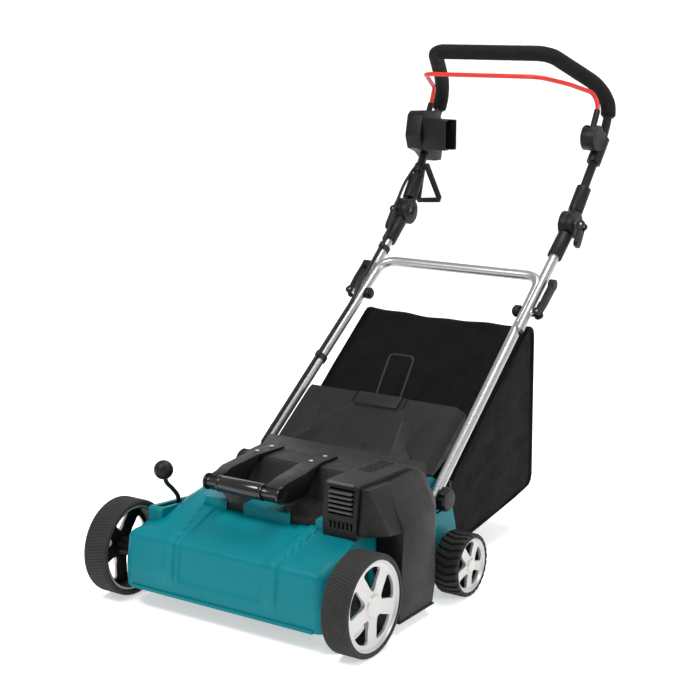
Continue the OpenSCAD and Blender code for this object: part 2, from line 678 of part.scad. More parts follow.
// Bolt with a cross pin on its outer end for the cam lever
CAM_AXIS = [0, sin(LEG_SLOPE), -cos(LEG_SLOPE)];
CAM = [238, BOLT[1], BOLT[2]];
module fold_bolts() {
    color("#8f8f8f") pair() {
        xcyl([BOLT[1], BOLT[2]], 187, 243, 4);
        rod(CAM - 9 * CAM_AXIS, CAM + 9 * CAM_AXIS, 3);
        difference() {
            xcyl([BOLT[1], BOLT[2]], 224.4, 227.6, 9);
            xcyl([BOLT[1], BOLT[2]], 220, 230, 4);
        }
    }
}
module fold_nuts() {
    color("#1d1d1d") pair() difference() {
        union() {
            xcyl([BOLT[1], BOLT[2]], 184, 195.6, 13);
            xcyl([BOLT[1], BOLT[2]], 180, 185, 9);
        }
        xcyl([BOLT[1], BOLT[2]], 187, 200, 4);
    }
}
module cam_lever() {
    color("#1d1d1d") difference() {
        translate(CAM) rotate([LEG_SLOPE, 0, 0]) union() {
            // Cheeks on the cross pin, then the curved paddle
            for (s = [-9.5, 4.7]) translate([0, 0, s]) {
                cylinder(r = 10, h = 4.8, $fn = 64);
                translate([-5, 0, 0]) cube([10, 22, 4.8]);
            }
            translate([-5, 12, -9.5]) cube([10, 14, 19]);
            slab(-2, 5) polygon([[14, -9.5], [34, -12], [84, -12], [84, 12], [34, 12], [14, 9.5]]);
            translate([-6, 84, 0]) rotate([0, 90, 0]) cylinder(r = 12, h = 12, $fn = 48);
        }
        rod(CAM - 12 * CAM_AXIS, CAM + 12 * CAM_AXIS, 3 + GAP);
    }
}
module right_cam_lever() { cam_lever(); }
module left_cam_lever() { mirror([1, 0, 0]) cam_lever(); }

// ---- Upper handle --------------------------------------------------------

UPPER_FLAT = FOLD_X + 0.15;
module upper_tubes() {
    slope = atan2(UPPER_DIR[2], UPPER_DIR[1]);
    color("#c8c8c8") pair() difference() {
        union() {
            difference() {
                rod(UPPER_FOOT, KNUCKLE - 34 * UPPER_DIR, TUBE_R);
                rod(UPPER_FOOT - 2 * UPPER_DIR, KNUCKLE - 36 * UPPER_DIR, TUBE_R - 1.5);
                fold_block(slope, 190, UPPER_FLAT, -60, 92);
            }
            intersection() {
                rod(UPPER_FOOT, KNUCKLE - 34 * UPPER_DIR, TUBE_R);
                union() {
                    fold_block(slope, UPPER_FLAT, UPPER_FLAT + 1.5, -60, 93.5);
                    fold_block(slope, 190, UPPER_FLAT + 1.5, 92, 93.5);
                }
            }
        }
        xcyl([BOLT[1], BOLT[2]], 200, 240, 4 + GAP);
    }
}
// Sleeve and disc of one half of the tilting knuckle
module knuckle_half(dir, x0, x1, len) {
    difference() {
        union() {
            rod(KNUCKLE + 34 * dir, KNUCKLE + len * dir, 16.5);
            xcyl([KNUCKLE[1], KNUCKLE[2]], x0, x1, 30);
            intersection() {
                rod(KNUCKLE, KNUCKLE + 36 * dir, 14);
                translate([x0, 700, 400]) cube([x1 - x0, 600, 600]);
            }
        }
        xcyl([KNUCKLE[1], KNUCKLE[2]], 150, 260, 5 + GAP);
        children();
    }
}
module lower_knuckles() {
    color("#1f1f1f") pair() knuckle_half(-UPPER_DIR, 198, 213.85, 96)
        rod(KNUCKLE - 33.9 * UPPER_DIR, KNUCKLE - 110 * UPPER_DIR, TUBE_R);
}
module upper_knuckles() {
    color("#1f1f1f") pair() knuckle_half(BAR_DIR, 214.15, 230, 94)
        rod(KNUCKLE + 33.9 * BAR_DIR, KNUCKLE + 110 * BAR_DIR, BAR_R);
}
CLAMP = [243, KNUCKLE[1], KNUCKLE[2]];
CLAMP_SLOPE = 180 + 56;
CLAMP_AXIS = [0, sin(CLAMP_SLOPE), -cos(CLAMP_SLOPE)];
module knuckle_bolts() {
    color("#8f8f8f") pair() {
        xcyl([KNUCKLE[1], KNUCKLE[2]], 192, 248, 5);
        xcyl([KNUCKLE[1], KNUCKLE[2]], 190, 197.8, 11);
        rod(CLAMP - 9.5 * CLAMP_AXIS, CLAMP + 9.5 * CLAMP_AXIS, 2.5);
    }
}
module knuckle_lever() {
    color("#1f1f1f") difference() {
        translate(CLAMP) rotate([CLAMP_SLOPE, 0, 0]) union() {
            for (s = [-10, 5.6]) translate([0, 0, s]) {
                cylinder(r = 9, h = 4.4, $fn = 64);
                translate([-4, 0, 0]) cube([9, 16, 4.4]);
            }
            slab(-4, 5) polygon([[12, -10], [44, -12], [52, -8], [52, 8], [44, 12], [12, 10]]);
        }
        rod(CLAMP - 13 * CLAMP_AXIS, CLAMP + 13 * CLAMP_AXIS, 2.5 + GAP);
    }
}
module right_knuckle_lever() { knuckle_lever(); }
module left_knuckle_lever() { mirror([1, 0, 0]) knuckle_lever(); }

// ---- Handlebar -----------------------------------------------------------

BAR_PATH = both_sides(rounded(BAR_SIDE, 30, 4));
module handlebar_tube() {
    color("#181818") tube(BAR_PATH, BAR_R, 1.5, [1, 0, 0], 20);
}
// The foam covers the loop from above the pods
function above(path, z) = [for (p = path) if (p[2] > z) p];
module foam_grip() {
    color("#222222") tube(above(BAR_PATH, 884), FOAM_R, FOAM_R - BAR_R - 0.05, [1, 0, 0], 20);
}

// Hole that follows the handlebar tube through a pod
module bar_bore() {
    sweep([for (i = [0:7]) BAR_PATH[i]], BAR_R + 0.08, [1, 0, 0], 20);
}
// Room for the bail's boss and its swing
module bail_slot() {
    xcyl([BAIL[1], BAIL[2]], 208, 224, 15);
    translate([208, BAIL[1] - 14, BAIL[2]]) cube([16, 60, 80]);
}
module right_pod() {
    color("#1f1f1f") difference() {
        union() {
            xcyl([BAIL[1], BAIL[2]], 204, 236, 28);
            rod(KNUCKLE + 160 * BAR_DIR, KNUCKLE + 226 * BAR_DIR, 16);
            translate([208, 1020, 817]) cube([28, 38, 38]);
        }
        bar_bore();
        bail_slot();
    }
    color("#1f1f1f") xcyl([BAIL[1], BAIL[2]], 205, 235, 4);
}
module switch_box() {
    color("#1f1f1f") difference() {
        slab(-247, -206) polygon([[1008, 889], [1078, 886], [1090, 850], [1094, 806], [1086, 768], [1058, 768],
            [1030, 790], [996, 802], [986, 832], [996, 880]]);
        mirror([1, 0, 0]) bar_bore();
        mirror([1, 0, 0]) bail_slot();
        translate([-244.5, 998, 806]) cube([9.5, 84, 70]);
        xcyl([1030, 852], -249, -241, 9 + GAP);
        translate([-244.5, 1064, 760]) cube([8, 8, 50]);
    }
    color("#1f1f1f") xcyl([BAIL[1], BAIL[2]], -234, -207, 4);
}
INLET = [1016, 836];
// The inlet points a little forwards, so that a plug clears the other pod
module inlet_turn() {
    translate([-204, INLET[0], 0]) rotate([0, 0, -8]) translate([204, -INLET[0], 0]) children();
}
module inlet_outline(t) {
    translate(INLET) square([44 - 2 * t, 70 - 2 * t], center = true);
}
module inlet_shroud() {
    color("#1b1b1b") difference() {
        inlet_turn() difference() {
            slab(-212, -134) inlet_outline(0);
            slab(-196, -120) inlet_outline(3);
            // Notches of the open end that lock the plug
            translate([-148, INLET[0] - 12, 860]) cube([30, 24, 30]);
            translate([-152, INLET[0] - 7, 780]) cube([30, 14, 30]);
            for (s = [-8, 8]) xcyl([INLET[0], INLET[1] + s], -202, -190, 1.8);
        }
        translate([-240, 900, 700]) cube([34.05, 240, 240]);
    }
}
module inlet_pins() {
    color("gold") inlet_turn() for (s = [-8, 8]) {
        xcyl([INLET[0], INLET[1] + s], -201.5, -195, 1.8);
        xcyl([INLET[0], INLET[1] + s], -196, -174, 2.4);
    }
}
module cable_hook() {
    c = KNUCKLE + 116 * BAR_DIR;
    color("#1b1b1b") {
        mirror([1, 0, 0]) difference() {
            rod(KNUCKLE + 106 * BAR_DIR, KNUCKLE + 126 * BAR_DIR, BAR_R + 3);
            rod(KNUCKLE + 100 * BAR_DIR, KNUCKLE + 130 * BAR_DIR, BAR_R + 0.05);
        }
        difference() {
            translate([0, c[1] + 8, 0]) rotate([90, 0, 0]) linear_extrude(7) difference() {
                polygon([[-214, 766], [-196, 766], [-160, 688], [-164, 676], [-222, 672], [-228, 680], [-213, 742]]);
                polygon([[-206, 752], [-203, 752], [-172, 687], [-217, 683]]);
            }
            mirror([1, 0, 0]) rod(KNUCKLE + 60 * BAR_DIR, KNUCKLE + 160 * BAR_DIR, BAR_R + 1);
        }
    }
}
module bail_bar() {
    color("#e03020") sweep(both_sides(rounded(BAIL_SIDE, 20, 4)), bail_d / 2, [1, 0, 0], 12);
}
module bail_boots() {
    color("#1a1a1a") pair() difference() {
        union() {
            xcyl([BAIL[1], BAIL[2]], 209, 223, 12);
            rod(BAIL, [216, 1052, 904], 6.9);
        }
        xcyl([BAIL[1], BAIL[2]], 200, 240, 4 + GAP);
        rod([216, 1043.5, 883], [216, 1060, 921.4], bail_d / 2);
    }
}
module start_button() {
    color("#c62a1e") {
        xcyl([1030, 852], -252, -243.9, 9);
        xcyl([1030, 852], -243.9, -240, 6);
    }
}

// ---- Cable ---------------------------------------------------------------

UP = [0, -sin(LEG_SLOPE), cos(LEG_SLOPE)];
BAR_UP = [0, -BAR_DIR[2], BAR_DIR[1]];
CABLE_OFF = TUBE_R + CABLE_R + 0.8;
module clip_ring(c, dir, offset) {
    difference() {
        union() {
            rod(c - 6 * dir, c + 6 * dir, TUBE_R + 2.5);
            rod(c - 6 * dir + offset, c + 6 * dir + offset, CABLE_R + 2.5);
        }
        rod(c - 8 * dir, c + 8 * dir, TUBE_R + 0.1);
        rod(c - 8 * dir + offset, c + 8 * dir + offset, CABLE_R + 0.15);
    }
}
module lower_cable() {
    color("#0f0f0f") {
        rod(flip(leg_point(-42)) + CABLE_OFF * UP, flip(leg_point(-446)) + CABLE_OFF * UP, CABLE_R);
        clip_ring(flip(leg_point(-202)), unit(flip(LEG_DIR)), CABLE_OFF * UP);
    }
}
module middle_cable() {
    foot = flip([UPPER_X, BOLT[1], BOLT[2]]);
    dir = unit(flip(UPPER_DIR));
    color("#0f0f0f") {
        rod(foot + 46 * dir + CABLE_OFF * UP, foot + 153 * dir + CABLE_OFF * UP, CABLE_R);
        clip_ring(foot + 132 * dir, dir, CABLE_OFF * UP);
    }
}

// ---- Assembly ------------------------------------------------------------

place() deck_housing();
place() motor_cover();
place() belt_cover();
place() carry_handle_arms();
place() carry_grip();
place() cover_screws();
place() motor_stator();
place() motor_capacitor();
place() knife_bearings();
place() drive_belt();
place() rear_stub_axles();
place() axle_bushes();
place() flap_hinge_rod();
place() handle_pivot_bolts();
place() motor_rotor();
place() motor_fan();
place() motor_pulley();
place() knife_shaft();
place() scarifier_knives();
place() knife_spacers();
place() shaft_pulley();
place() front_crank_axle();
place() depth_lever();
place() lever_ball();
place() front_left_tyre();
place() front_left_rim();
place() front_right_tyre();
place() front_right_rim();
place() rear_left_tyre();
place() rear_left_rim();
place() rear_right_tyre();
place() rear_right_rim();
place() lower_handle();
place() fold_bolts();
place() fold_nuts();
place() lower_cable();
place() left_pivot_knob();
place() right_pivot_knob();
place() upper_tubes();
place() lower_knuckles();
place() knuckle_bolts();
place() middle_cable();
place() left_cam_lever();
place() right_cam_lever();
place() left_knuckle_lever();
place() right_knuckle_lever();
place() handlebar_tube();
place() foam_grip();
place() upper_knuckles();
place() right_pod();
place() switch_box();
place() inlet_shroud();
place() inlet_pins();
place() cable_hook();
place() bail_bar();
place() bail_boots();
place() start_button();
place() rear_flap();
place() bag_cloth();
place() bag_frame();
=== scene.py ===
import bpy, bmesh, json, math
import numpy as np
from math import radians, sin, cos, pi
from mathutils import Vector, Matrix

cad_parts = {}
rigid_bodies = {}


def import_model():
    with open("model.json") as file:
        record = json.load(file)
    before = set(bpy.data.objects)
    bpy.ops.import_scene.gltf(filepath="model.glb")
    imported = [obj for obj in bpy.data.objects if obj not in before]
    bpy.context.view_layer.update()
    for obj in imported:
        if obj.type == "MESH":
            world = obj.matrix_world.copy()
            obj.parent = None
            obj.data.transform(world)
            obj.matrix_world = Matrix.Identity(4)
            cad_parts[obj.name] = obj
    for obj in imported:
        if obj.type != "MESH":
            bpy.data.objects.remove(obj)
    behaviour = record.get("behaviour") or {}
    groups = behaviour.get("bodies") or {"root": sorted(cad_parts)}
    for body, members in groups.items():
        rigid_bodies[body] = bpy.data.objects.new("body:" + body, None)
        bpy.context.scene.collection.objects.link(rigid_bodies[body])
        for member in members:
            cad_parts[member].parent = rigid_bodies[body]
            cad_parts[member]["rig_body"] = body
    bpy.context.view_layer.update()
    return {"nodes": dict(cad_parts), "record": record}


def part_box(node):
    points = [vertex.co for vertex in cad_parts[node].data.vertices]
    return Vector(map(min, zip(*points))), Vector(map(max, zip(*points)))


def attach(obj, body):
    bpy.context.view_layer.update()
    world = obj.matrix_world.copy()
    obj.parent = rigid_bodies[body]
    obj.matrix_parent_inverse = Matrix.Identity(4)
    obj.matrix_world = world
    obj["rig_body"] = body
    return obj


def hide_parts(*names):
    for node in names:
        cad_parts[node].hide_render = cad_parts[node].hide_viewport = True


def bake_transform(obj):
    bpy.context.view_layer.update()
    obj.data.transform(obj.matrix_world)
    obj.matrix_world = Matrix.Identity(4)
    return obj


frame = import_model()
nodes = frame["nodes"]
slot_of = {s["node"]: s["material_slot"] for s in frame["record"]["subparts"]}
scene = bpy.context.scene

# Pieces are drawn in millimetres with y = 0 at the front axle, as the CAD is
rim_low, rim_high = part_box("front_right_rim")
Y0 = (rim_low.y + rim_high.y) / 2


def V(x, y, z):
    """Point of the frame, in metres, from the drawing's millimetres."""
    return Vector((x / 1000, y / 1000 + Y0, z / 1000))


# ---- Camera, floor and light ------------------------------------------------

def stage():
    """Camera at the viewing angle, white world, three area lights, and a floor that curves up to a backdrop."""
    cam = bpy.data.cameras.new("camera")
    cam.lens, cam.sensor_width = 80.1, 36
    ob = bpy.data.objects.new("camera", cam)
    ob.location = (1.7017, -2.6963, 1.1358)
    ob.rotation_euler = (radians(90 - 12.523), 0, radians(33.616))
    scene.collection.objects.link(ob)
    scene.camera = ob
    scene.view_settings.view_transform = "Standard"

    world = bpy.data.worlds.new("world")
    scene.world = world
    world.use_nodes = True
    background = world.node_tree.nodes["Background"]
    background.inputs["Color"].default_value = (1, 1, 1, 1)
    background.inputs["Strength"].default_value = 0.5

    def area(name, at, to, size, power):
        light = bpy.data.lights.new(name, "AREA")
        light.size, light.energy = size, power
        o = bpy.data.objects.new(name, light)
        o.location = at
        o.rotation_euler = (Vector(to) - Vector(at)).to_track_quat("-Z", "Y").to_euler()
        scene.collection.objects.link(o)

    area("key_light", (-0.6, -1.9, 2.6), (0, 0, 0.25), 0.9, 62)
    area("top_light", (0.5, 0.6, 3.0), (0, 0, 0.3), 1.2, 48)
    area("side_light", (2.9, -0.3, 1.5), (0, 0, 0.4), 0.8, 26)

    me = bpy.data.meshes.new("floor")
    side = 14
    profile = [(-9, 0), (7, 0), (8.2, 0.5), (9, 1.6), (9, 9)]
    me.from_pydata([(x, y, z) for y, z in profile for x in (-side, side)], [],
                   [(2 * i, 2 * i + 1, 2 * i + 3, 2 * i + 2) for i in range(len(profile) - 1)])
    floor = bpy.data.objects.new("floor", me)
    scene.collection.objects.link(floor)
    m = bpy.data.materials.new("floor_white")
    m.use_nodes = True
    b = m.node_tree.nodes["Principled BSDF"]
    b.inputs["Base Color"].default_value = (0.9, 0.9, 0.9, 1)
    b.inputs["Roughness"].default_value = 1.0
    b.inputs["Specular IOR Level"].default_value = 0.0
    b.inputs["Emission Color"].default_value = (1, 1, 1, 1)
    b.inputs["Emission Strength"].default_value = 0.5
    me.materials.append(m)


# ---- Materials ----------------------------------------------------------------

class Graph:
    """Short notation for a material's nodes."""

    def __init__(self, name):
        self.m = bpy.data.materials.new(name)
        self.m.use_nodes = True
        self.t = self.m.node_tree
        self.b = self.t.nodes["Principled BSDF"]
        self.at = self.add("ShaderNodeTexCoord").outputs["Object"]

    def add(self, kind, **sockets):
        n = self.t.nodes.new(kind)
        for k, v in sockets.items():
            if isinstance(v, bpy.types.NodeSocket):
                self.t.links.new(v, n.inputs[k])
            else:
                n.inputs[k].default_value = v
        return n

    def link(self, a, b):
        self.t.links.new(a, b)

    def noise(self, scale, detail=3, rough=0.6, at=None):
        n = self.add("ShaderNodeTexNoise", Vector=at or self.at, Scale=scale, Detail=detail, Roughness=rough)
        return n.outputs["Fac"]

    def spread(self, value, lo, hi, a=0.0, b=1.0):
        """Carries the range lo..hi over to a..b."""
        n = self.add("ShaderNodeMapRange")
        self.link(value, n.inputs[0])
        for i, v in enumerate((lo, hi, a, b), 1):
            n.inputs[i].default_value = v
        return n.outputs[0]

    def math(self, op, a, b=0.0):
        n = self.t.nodes.new("ShaderNodeMath")
        n.operation = op
        for i, v in enumerate((a, b)):
            if isinstance(v, bpy.types.NodeSocket):
                self.link(v, n.inputs[i])
            else:
                n.inputs[i].default_value = v
        return n.outputs[0]

    def mix(self, fac, a, b):
        n = self.t.nodes.new("ShaderNodeMix")
        n.data_type = "RGBA"
        for s, v in ((0, fac), (6, a), (7, b)):
            if isinstance(v, bpy.types.NodeSocket):
                self.link(v, n.inputs[s])
            else:
                n.inputs[s].default_value = v if s == 0 else (*v, 1)
        return n.outputs[2]

    def bump(self, height, distance, strength=1.0, normal=None):
        n = self.t.nodes.new("ShaderNodeBump")
        n.inputs["Strength"].default_value = strength
        n.inputs["Distance"].default_value = distance
        self.link(height, n.inputs["Height"])
        if normal:
            self.link(normal, n.inputs["Normal"])
        return n.outputs[0]


def shade(c, k):
    """Colour c made k times as bright."""
    return tuple(min(1, v * k) for v in c)


DUST = (0.33, 0.32, 0.30)


def moulded(name, color, rough, grain=900, depth=0.00012, coat=0.0, spec=0.5, metal=0.0, dust=0.0,
            vary=0.12):
    """Moulded plastic, paint or metal: fine grain, slight cloudiness, uneven gloss and dust on upward faces."""
    g = Graph(name)
    clouds = g.noise(9, 4)
    col = g.mix(g.spread(clouds, 0.3, 0.7), shade(color, 1 - vary), shade(color, 1 + vary))
    if dust:
        normal = g.add("ShaderNodeNewGeometry").outputs["Normal"]
        up = g.add("ShaderNodeSeparateXYZ", Vector=normal).outputs["Z"]
        fine = g.math("MULTIPLY", g.spread(up, 0.1, 1.0), g.spread(g.noise(60, 5), 0.35, 0.75))
        col = g.mix(g.math("MULTIPLY", fine, dust), col, DUST)
    g.link(col, g.b.inputs["Base Color"])
    g.link(g.spread(g.noise(40, 5), 0.3, 0.7, rough * 0.88, min(1, rough * 1.12)), g.b.inputs["Roughness"])
    g.link(g.bump(g.noise(grain, 2), depth), g.b.inputs["Normal"])
    g.b.inputs["Metallic"].default_value = metal
    g.b.inputs["Specular IOR Level"].default_value = spec
    g.b.inputs["Coat Weight"].default_value = coat
    g.b.inputs["Coat Roughness"].default_value = 0.12
    return g.m


def fabric(name, color):
    """Coarse plain weave: threads along all three axes, so that every panel shows two of them."""
    g = Graph(name)
    height = None
    for axis in "XYZ":
        n = g.add("ShaderNodeTexWave", Vector=g.at, Scale=150.0, Distortion=0.4, Detail=1.0)
        n.wave_type, n.bands_direction = "BANDS", axis
        height = n.outputs["Fac"] if height is None else g.math("MULTIPLY", height, n.outputs["Fac"])
    worn = g.spread(g.noise(14, 5), 0.35, 0.7)
    g.link(g.mix(worn, shade(color, 0.8), shade(color, 1.35)), g.b.inputs["Base Color"])
    g.link(g.spread(g.noise(70, 3), 0.3, 0.7, 0.78, 0.92), g.b.inputs["Roughness"])
    creases = g.bump(g.noise(28, 3), 0.0012, 0.5)
    g.link(g.bump(g.spread(height, 0, 0.5), 0.00035, 0.7, creases), g.b.inputs["Normal"])
    g.b.inputs["Sheen Weight"].default_value = 0.03
    g.b.inputs["Sheen Roughness"].default_value = 0.4
    g.b.inputs["Specular IOR Level"].default_value = 0.12
    return g.m


def foam(name, color):
    """Soft foam with open cells."""
    g = Graph(name)
    cells = g.add("ShaderNodeTexVoronoi", Vector=g.at, Scale=700.0).outputs["Distance"]
    tone = g.spread(g.noise(30, 4), 0.3, 0.7)
    g.link(g.mix(tone, shade(color, 0.8), shade(color, 1.25)), g.b.inputs["Base Color"])
    g.link(g.spread(g.noise(50, 3), 0.3, 0.7, 0.82, 0.95), g.b.inputs["Roughness"])
    g.link(g.bump(cells, 0.0006, 0.8), g.b.inputs["Normal"])
    g.b.inputs["Specular IOR Level"].default_value = 0.18
    return g.m


def brushed(name, color, rough, metal, stretch=(40, 40, 600)):
    """Metal or metallic paint with faint drawn lines."""
    g = Graph(name)
    v = g.t.nodes.new("ShaderNodeMapping")
    g.link(g.at, v.inputs["Vector"])
    v.inputs["Scale"].default_value = stretch
    lines = g.noise(1, 4, 0.7, v.outputs[0])
    tone = g.spread(lines, 0.3, 0.7)
    g.link(g.mix(tone, shade(color, 0.93), shade(color, 1.06)), g.b.inputs["Base Color"])
    g.link(g.spread(lines, 0.3, 0.7, rough * 0.85, rough * 1.2), g.b.inputs["Roughness"])
    g.link(g.bump(g.noise(1500, 2), 0.00003), g.b.inputs["Normal"])
    g.b.inputs["Metallic"].default_value = metal
    return g.m


def rubber(name, color):
    """Dull rubber, greyer where dust stays."""
    g = Graph(name)
    dusty = g.math("MULTIPLY", g.spread(g.noise(24, 5), 0.4, 0.75), 0.35)
    g.link(g.mix(dusty, color, (0.035, 0.032, 0.03)), g.b.inputs["Base Color"])
    g.link(g.spread(g.noise(50, 3), 0.3, 0.7, 0.62, 0.82), g.b.inputs["Roughness"])
    g.link(g.bump(g.noise(1100, 3), 0.00015), g.b.inputs["Normal"])
    g.b.inputs["Specular IOR Level"].default_value = 0.22
    return g.m


TEAL, CHARCOAL, BLACK = (0.0, 0.15, 0.18), (0.0075, 0.007, 0.0066), (0.004, 0.004, 0.004)
MATERIALS = {
    "teal_plastic": moulded("teal_plastic", TEAL, 0.42, 1100, 0.00006, spec=0.12, vary=0.05),
    "charcoal_plastic": moulded("charcoal_plastic", CHARCOAL, 0.5, 1000, 0.00018, spec=0.22, dust=0.015),
    "black_plastic": moulded("black_plastic", BLACK, 0.46, 1000, 0.00014, spec=0.22, dust=0.008),
    "gloss_black": moulded("gloss_black", (0.007, 0.007, 0.007), 0.2, 1300, 0.00003, coat=0.25, spec=0.35,
                           vary=0.05),
    "silver_paint": brushed("silver_paint", (0.42, 0.42, 0.42), 0.3, 0.85),
    "silver_plastic": moulded("silver_plastic", (0.45, 0.44, 0.43), 0.36, 1300, 0.00004, coat=0.15, metal=0.35,
                              vary=0.04),
    "tyre_black": rubber("tyre_black", (0.02, 0.0195, 0.019)),
    "black_paint": moulded("black_paint", (0.005, 0.005, 0.005), 0.34, 1200, 0.00005, spec=0.3, vary=0.06),
    "bright_steel": brushed("bright_steel", (0.66, 0.66, 0.65), 0.25, 1.0, (500, 500, 500)),
    "knife_steel": brushed("knife_steel", (0.42, 0.42, 0.43), 0.38, 1.0, (300, 300, 300)),
    "motor_core": brushed("motor_core", (0.4, 0.4, 0.41), 0.45, 0.9, (900, 20, 20)),
    "rotor_core": brushed("rotor_core", (0.5, 0.33, 0.16), 0.4, 0.9, (900, 20, 20)),
    "alloy": brushed("alloy", (0.6, 0.6, 0.6), 0.4, 1.0, (200, 200, 200)),
    "white_plastic": moulded("white_plastic", (0.72, 0.72, 0.7), 0.42),
    "belt_rubber": rubber("belt_rubber", (0.016, 0.016, 0.016)),
    "foam_black": foam("foam_black", (0.006, 0.006, 0.006)),
    "red_coat": moulded("red_coat", (0.52, 0.02, 0.012), 0.25, 1300, 0.00003, coat=0.15, spec=0.3, vary=0.04),
    "red_plastic": moulded("red_plastic", (0.55, 0.03, 0.02), 0.35),
    "bag_fabric": fabric("bag_fabric", (0.0012, 0.0011, 0.0012)),
    "cable_rubber": rubber("cable_rubber", (0.014, 0.014, 0.014)),
    "brass_pin": brushed("brass_pin", (0.72, 0.52, 0.22), 0.25, 1.0, (300, 300, 300)),
    "grey_plastic": moulded("grey_plastic", (0.008, 0.008, 0.008), 0.5, spec=0.25),
    "facet_plastic": moulded("facet_plastic", (0.045, 0.043, 0.041), 0.5, 1000, 0.00016, dust=0.04),
}


# ---- Mesh helpers -------------------------------------------------------------

def link(name, me):
    """New object around a mesh, in the scene."""
    ob = bpy.data.objects.new(name, me)
    scene.collection.objects.link(ob)
    return ob


def raw(name, verts, faces):
    """Object from vertices in millimetres."""
    me = bpy.data.meshes.new(name)
    me.from_pydata([V(*v) for v in verts], [], faces)
    me.update()
    return link(name, me)


def tidy(ob, merge=1e-6):
    """Merges vertices closer than merge metres and turns all faces outwards."""
    bm = bmesh.new()
    bm.from_mesh(ob.data)
    bmesh.ops.remove_doubles(bm, verts=bm.verts, dist=merge)
    bmesh.ops.recalc_face_normals(bm, faces=bm.faces)
    bm.to_mesh(ob.data)
    bm.free()


def apply(ob):
    """Bakes the object's modifiers into its mesh."""
    dg = bpy.context.evaluated_depsgraph_get()
    me = bpy.data.meshes.new_from_object(ob.evaluated_get(dg))
    ob.modifiers.clear()
    ob.data = me
    return ob


def cut_out(ob, cutters):
    """Takes the cutters out of ob and deletes them."""
    for cutter in cutters:
        m = ob.modifiers.new("bool", "BOOLEAN")
        m.operation, m.object, m.solver = "DIFFERENCE", cutter, "EXACT"
    apply(ob)
    for cutter in cutters:
        bpy.data.objects.remove(cutter)
    return ob


def smooth(ob, angle=38):
    """Smooth shading, with edges sharper than the angle kept sharp."""
    me = ob.data
    me.polygons.foreach_set("use_smooth", [True] * len(me.polygons))
    bm = bmesh.new()
    bm.from_mesh(me)
    limit = radians(angle)
    for e in bm.edges:
        e.smooth = not (len(e.link_faces) == 2 and e.calc_face_angle(0) > limit)
    bm.to_mesh(me)
    bm.free()


def bevel(ob, width, segments=2, angle=30):
    """Rounds the edges sharper than the angle, by width millimetres."""
    m = ob.modifiers.new("bevel", "BEVEL")
    m.width, m.segments, m.limit_method, m.angle_limit = width / 1000, segments, "ANGLE", radians(angle)
    m.use_clamp_overlap = True
    return apply(ob)


def flatten(ob, degrees=0.8):
    """Merges coplanar triangles into whole faces, so that only real edges are left."""
    bm = bmesh.new()
    bm.from_mesh(ob.data)
    bmesh.ops.remove_doubles(bm, verts=bm.verts, dist=2e-5)
    bmesh.ops.dissolve_limit(bm, angle_limit=radians(degrees), verts=bm.verts, edges=bm.edges)
    bmesh.ops.recalc_face_normals(bm, faces=bm.faces)
    bm.to_mesh(ob.data)
    bm.free()


def piece(ob, body, slot, *stands_for, material=None, angle=38):
    """Gives a finished mesh its material and its place in the machine."""
    ob.data.materials.clear()
    ob.data.materials.append(MATERIALS[material or slot])
    ob.data.polygons.foreach_set("material_index", [0] * len(ob.data.polygons))
    smooth(ob, angle)
    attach(ob, body)
    if stands_for:
        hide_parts(*stands_for)
    return ob


def skinned(name, base, top):
    """Closed solid between two outlines with as many points each."""
    n = len(base)
    faces = [tuple(range(n))[::-1], tuple(range(n, 2 * n))]
    faces += [(i, (i + 1) % n, n + (i + 1) % n, n + i) for i in range(n)]
    ob = raw(name, base + top, faces)
    tidy(ob)
    return ob


def prism(name, outline, x0, x1):
    """(y, z) outline extruded along x."""
    return skinned(name, *([(x, y, z) for y, z in outline] for x in (x0, x1)))


def plate(name, plan, z0, z1, width=0.9):
    """Upright prism over a plan of (x, y) corners, with rounded edges."""
    return bevel(skinned(name, *([(x, y, z) for x, y in plan] for z in (z0, z1))), width, 2, 25)


def block(name, x0, x1, y0, y1, z0, z1):
    return prism(name, [(y0, z0), (y1, z0), (y1, z1), (y0, z1)], x0, x1)


def revolve(name, profile, centre, n, closed=True):
    """(x, r) profile turned about the line along x through centre = (y, z)."""
    verts = [(x, centre[0] + r * cos(2 * pi * k / n), centre[1] + r * sin(2 * pi * k / n))
             for k in range(n) for x, r in profile]
    return turned(name, verts, len(profile), n, closed)


def turned(name, verts, m, n, closed=True):
    """Mesh from n rings of m vertices each, the last ring joined to the first."""
    faces = [(k * m + i, k * m + (i + 1) % m, (k + 1) % n * m + (i + 1) % m, (k + 1) % n * m + i)
             for k in range(n) for i in range(m if closed else m - 1)]
    ob = raw(name, verts, faces)
    tidy(ob)
    return ob


def curve_points(points, radius, step=6.0):
    """Rounds the corners of a polyline by arcs and returns evenly dense points."""
    pts = [Vector(p) for p in points]
    out = [pts[0]]
    for i in range(1, len(pts) - 1):
        a, b, c = pts[i - 1], pts[i], pts[i + 1]
        d = min(radius, 0.49 * (b - a).length, 0.49 * (c - b).length)
        p, q = b + d * (a - b).normalized(), b + d * (c - b).normalized()
        k = max(3, int((q - p).length / step))
        out += [(1 - t) ** 2 * p + 2 * t * (1 - t) * b + t * t * q for t in [j / k for j in range(k + 1)]]
    out.append(pts[-1])
    dense = [out[0]]
    for a, b in zip(out, out[1:]):
        k = max(1, int((b - a).length / (4 * step)))
        dense += [a.lerp(b, (j + 1) / k) for j in range(k)]
    return dense


